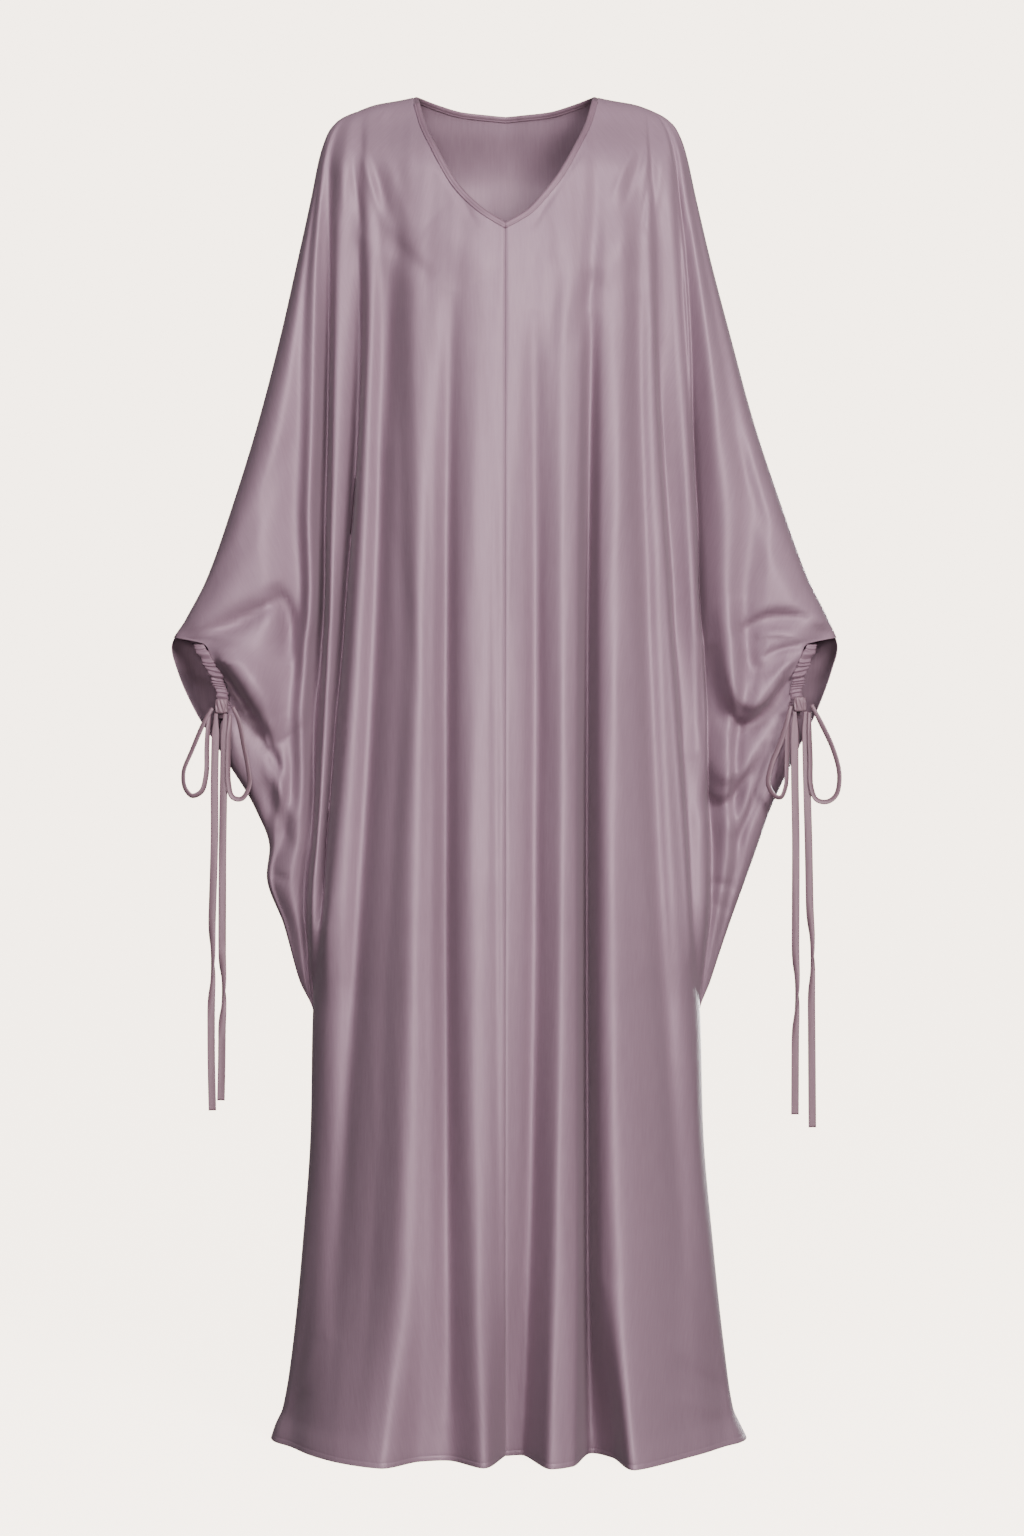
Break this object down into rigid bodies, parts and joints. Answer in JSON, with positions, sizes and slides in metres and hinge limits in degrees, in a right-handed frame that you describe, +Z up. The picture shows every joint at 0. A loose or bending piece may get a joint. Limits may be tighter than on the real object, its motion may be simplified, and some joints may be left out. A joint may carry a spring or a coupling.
{
  "type": "abaya",
  "caption": "Floor-length satin abaya with a V neck, a centre front seam, batwing sleeves cut in one with the body and gathered wrist openings tied with ribbon bows.",
  "frame": {"origin": "midway between the two neck points, at their height, where the wearer's shoulders carry the robe", "axes": "+Z up, -Y the front of the robe, +X the wearer's left"},
  "size_m": [0.7096, 0.4136, 1.4206],
  "materials": {
    "satin": "mauve satin with a soft sheen",
    "binding": "mauve satin binding, folded",
    "ribbon": "mauve satin ribbon"
  },
  "bodies": {
    "root": {"front_right": "satin", "front_left": "satin", "back": "satin", "neck_binding_right": "binding", "neck_binding_left": "binding", "neck_binding_back": "binding", "cuff_casing_right": "satin", "cuff_casing_left": "satin", "knot_right": "ribbon", "knot_left": "ribbon", "tie_tail_outer_right": "ribbon", "tie_tail_inner_right": "ribbon", "tie_loop_outer_right": "ribbon", "tie_loop_inner_right": "ribbon", "tie_tail_outer_left": "ribbon", "tie_tail_inner_left": "ribbon", "tie_loop_outer_left": "ribbon", "tie_loop_inner_left": "ribbon"}
  },
  "joints": []
}
